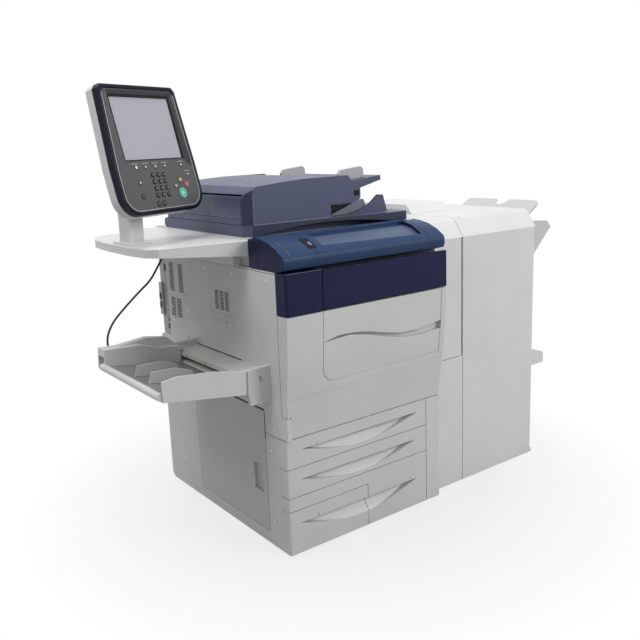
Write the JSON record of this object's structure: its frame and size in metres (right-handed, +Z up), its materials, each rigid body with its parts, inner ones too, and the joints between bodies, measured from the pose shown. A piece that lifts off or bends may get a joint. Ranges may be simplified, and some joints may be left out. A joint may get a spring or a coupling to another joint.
{
  "type": "digital production printer",
  "caption": "Floor-standing digital production printer with paper trays, bypass tray, document feeder, touch screen on a post, work shelf, relay unit and finisher with output trays.",
  "frame": {"origin": "on the floor under the middle of the machine's floor plan", "axes": "+X to the right along the front, +Y to the back, +Z up"},
  "size_m": [1.7133, 0.819, 1.4106],
  "materials": {
    "zinc_steel": "zinc plated",
    "warm_white": "fine moulded texture",
    "light_sheet": "painted sheet",
    "dark_inner": "moulded",
    "navy": "satin moulded",
    "control_blue": "satin moulded",
    "slate_blue": "fine moulded texture",
    "clear_glass": "polished",
    "tray_grey": "painted sheet",
    "light_grey": "fine moulded texture",
    "bezel_grey": "satin moulded",
    "screen_glass": "smooth film",
    "key_grey": "satin",
    "key_green": "satin",
    "key_red": "satin",
    "wheel_rubber": "moulded",
    "cartridge": "moulded",
    "drum": "coated",
    "fuser": "smooth",
    "cable_black": "smooth",
    "gland_grey": "moulded"
  },
  "bodies": {
    "machine": {"machine_frame": "zinc_steel", "left_cover": "warm_white", "right_cover": "warm_white", "rear_cover": "light_sheet", "inner_panel": "dark_inner", "band_corner": "navy", "control_top": "control_blue", "scanner_housing": "warm_white", "platen_glass": "clear_glass", "bypass_head": "warm_white", "work_shelf": "warm_white", "relay_frame": "warm_white", "finisher_frame": "warm_white", "upper_output_tray": "light_grey", "levelling_feet": "zinc_steel", "toner_cartridges": "cartridge", "drum_units": "drum", "fuser_rollers": "fuser", "screen_cable": "cable_black", "cable_glands": "gland_grey"},
    "door": {"front_door": "warm_white"},
    "toner_door": {"toner_cover": "navy"},
    "drawer_1": {"tray_1_front": "warm_white", "tray_1_box": "tray_grey"},
    "drawer_2": {"tray_2_front": "warm_white", "tray_2_box": "tray_grey"},
    "drawer_3": {"tray_3_front": "warm_white", "tray_3_box": "tray_grey"},
    "drawer_4": {"tray_4_front": "warm_white", "tray_4_box": "tray_grey"},
    "left_door": {"side_door": "warm_white"},
    "bypass": {"bypass_tray": "warm_white"},
    "bypass_guide_1": {"bypass_guide_front": "light_grey"},
    "bypass_guide_2": {"bypass_guide_rear": "light_grey"},
    "bypass_end": {"bypass_extension": "warm_white"},
    "lid": {"platen_cover": "slate_blue", "feeder_body": "slate_blue", "exit_catch": "light_grey"},
    "lid_cover": {"feeder_cover": "slate_blue"},
    "sheet_tray": {"feeder_tray": "slate_blue"},
    "sheet_guide_1": {"feeder_guide_front": "light_grey"},
    "sheet_guide_2": {"feeder_guide_rear": "light_grey"},
    "post": {"screen_post": "warm_white"},
    "screen": {"screen_shell": "light_grey", "screen_bezel": "bezel_grey", "touch_glass": "screen_glass", "number_keys": "key_grey"},
    "green_key": {"start_key": "key_green"},
    "red_key": {"stop_key": "key_red"},
    "relay_door": {"relay_cover": "warm_white"},
    "tall_door": {"finisher_door": "warm_white"},
    "top_lid": {"finisher_top_cover": "warm_white"},
    "stacker": {"stacker_tray": "light_grey"},
    "booklet": {"booklet_tray": "light_grey"},
    "fork_left": {"caster_fork_left": "zinc_steel"},
    "fork_right": {"caster_fork_right": "zinc_steel"},
    "wheel_1": {"caster_wheel_1": "wheel_rubber"},
    "wheel_2": {"caster_wheel_2": "wheel_rubber"},
    "wheel_3": {"caster_wheel_3": "wheel_rubber"},
    "wheel_4": {"caster_wheel_4": "wheel_rubber"}
  },
  "joints": [
    {"name": "front_door_hinge", "type": "hinge", "parent": "machine", "child": "door", "pos_m": [-0.48316, -0.3795, 0.569], "axis": [0, 0, -1], "range_deg": [0, 100]},
    {"name": "toner_cover_hinge", "type": "hinge", "parent": "machine", "child": "toner_door", "pos_m": [-0.11316, -0.4035, 0.76425], "axis": [1, 0, 0], "range_deg": [0, 80]},
    {"name": "tray_1_slide", "type": "slide", "parent": "machine", "child": "drawer_1", "axis": [0, -1, 0], "range_m": [0, 0.4]},
    {"name": "tray_2_slide", "type": "slide", "parent": "machine", "child": "drawer_2", "axis": [0, -1, 0], "range_m": [0, 0.4]},
    {"name": "tray_3_slide", "type": "slide", "parent": "machine", "child": "drawer_3", "axis": [0, -1, 0], "range_m": [0, 0.4]},
    {"name": "tray_4_slide", "type": "slide", "parent": "machine", "child": "drawer_4", "axis": [0, -1, 0], "range_m": [0, 0.4]},
    {"name": "side_door_hinge", "type": "hinge", "parent": "machine", "child": "left_door", "pos_m": [-0.48616, 0.1655, 0.2515], "axis": [0, 0, -1], "range_deg": [0, 90]},
    {"name": "bypass_fold", "type": "hinge", "parent": "machine", "child": "bypass", "pos_m": [-0.5764, -0.106, 0.59365], "axis": [0, 1, 0], "range_deg": [0, 70]},
    {"name": "bypass_guide_front_slide", "type": "slide", "parent": "bypass", "child": "bypass_guide_1", "axis": [0, -1, 0], "range_m": [-0.03, 0.08]},
    {"name": "bypass_guide_rear_slide", "type": "slide", "parent": "bypass", "child": "bypass_guide_2", "axis": [0, 1, 0], "range_m": [-0.03, 0.08]},
    {"name": "bypass_extension_slide", "type": "slide", "parent": "bypass", "child": "bypass_end", "axis": [-0.9903, 0, 0.1392], "range_m": [0, 0.05]},
    {"name": "document_cover_lift", "type": "hinge", "parent": "machine", "child": "lid", "pos_m": [-0.17116, 0.3255, 0.98], "axis": [-1, 0, 0], "range_deg": [0, 60]},
    {"name": "feeder_cover_hinge", "type": "hinge", "parent": "lid", "child": "lid_cover", "pos_m": [-0.43716, 0.0555, 1.1016], "axis": [0, -1, 0], "range_deg": [0, 65]},
    {"name": "sheet_tray_fold", "type": "hinge", "parent": "lid", "child": "sheet_tray", "pos_m": [-0.13028, 0.0555, 1.091], "axis": [0, -1, 0], "range_deg": [0, 75]},
    {"name": "sheet_guide_front_slide", "type": "slide", "parent": "sheet_tray", "child": "sheet_guide_1", "axis": [0, -1, 0], "range_m": [-0.12, 0.006]},
    {"name": "sheet_guide_rear_slide", "type": "slide", "parent": "sheet_tray", "child": "sheet_guide_2", "axis": [0, 1, 0], "range_m": [-0.12, 0.006]},
    {"name": "post_swivel", "type": "hinge", "parent": "machine", "child": "post", "pos_m": [-0.73556, 0.02925, 0.958], "axis": [0, 0, 1], "range_deg": [-30, 45]},
    {"name": "screen_tilt", "type": "hinge", "parent": "post", "child": "screen", "pos_m": [-0.73556, 0.02925, 1.23325], "axis": [-0.9135, -0.4067, 0], "range_deg": [0, 20]},
    {"name": "start_press", "type": "slide", "parent": "screen", "child": "green_key", "axis": [-0.3947, 0.8864, -0.2419], "range_m": [0, 0.0015], "stiffness_N_per_m": 400, "springref_m": -0.001},
    {"name": "stop_press", "type": "slide", "parent": "screen", "child": "red_key", "axis": [-0.3947, 0.8864, -0.2419], "range_m": [0, 0.0015], "stiffness_N_per_m": 400, "springref_m": -0.001},
    {"name": "relay_cover_hinge", "type": "hinge", "parent": "machine", "child": "relay_door", "pos_m": [0.28934, -0.3185, 0.69], "axis": [0, 0, 1], "range_deg": [0, 90]},
    {"name": "finisher_door_hinge", "type": "hinge", "parent": "machine", "child": "tall_door", "pos_m": [0.68184, -0.3185, 0.46], "axis": [0, 0, 1], "range_deg": [0, 100]},
    {"name": "finisher_top_hinge", "type": "hinge", "parent": "machine", "child": "top_lid", "pos_m": [0.41884, 0.2935, 0.9663], "axis": [-1, 0, 0], "range_deg": [0, 60]},
    {"name": "stacker_lift", "type": "slide", "parent": "machine", "child": "stacker", "axis": [0, 0, -1], "range_m": [0, 0.22]},
    {"name": "booklet_tray_fold", "type": "hinge", "parent": "machine", "child": "booklet", "pos_m": [0.70014, -0.1225, 0.3592], "axis": [0, -1, 0], "range_deg": [0, 60]},
    {"name": "caster_left_swivel", "type": "hinge", "parent": "machine", "child": "fork_left", "pos_m": [-0.36516, -0.26302, 0.06], "axis": [0, 0, 1], "continuous": true},
    {"name": "caster_wheel_1_spin", "type": "hinge", "parent": "fork_left", "child": "wheel_1", "pos_m": [-0.36516, -0.25102, 0.0223], "axis": [1, 0, 0], "continuous": true},
    {"name": "caster_right_swivel", "type": "hinge", "parent": "machine", "child": "fork_right", "pos_m": [0.01284, -0.26302, 0.06], "axis": [0, 0, 1], "continuous": true},
    {"name": "caster_wheel_2_spin", "type": "hinge", "parent": "fork_right", "child": "wheel_2", "pos_m": [0.01284, -0.25102, 0.0223], "axis": [1, 0, 0], "continuous": true},
    {"name": "caster_wheel_3_spin", "type": "hinge", "parent": "machine", "child": "wheel_3", "pos_m": [-0.36516, 0.31722, 0.0223], "axis": [1, 0, 0], "continuous": true},
    {"name": "caster_wheel_4_spin", "type": "hinge", "parent": "machine", "child": "wheel_4", "pos_m": [0.01284, 0.31722, 0.0223], "axis": [1, 0, 0], "continuous": true}
  ],
  "couplings": [
    {"joint": "bypass_guide_rear_slide", "follows": "bypass_guide_front_slide", "ratio": 1},
    {"joint": "sheet_guide_rear_slide", "follows": "sheet_guide_front_slide", "ratio": 1}
  ]
}
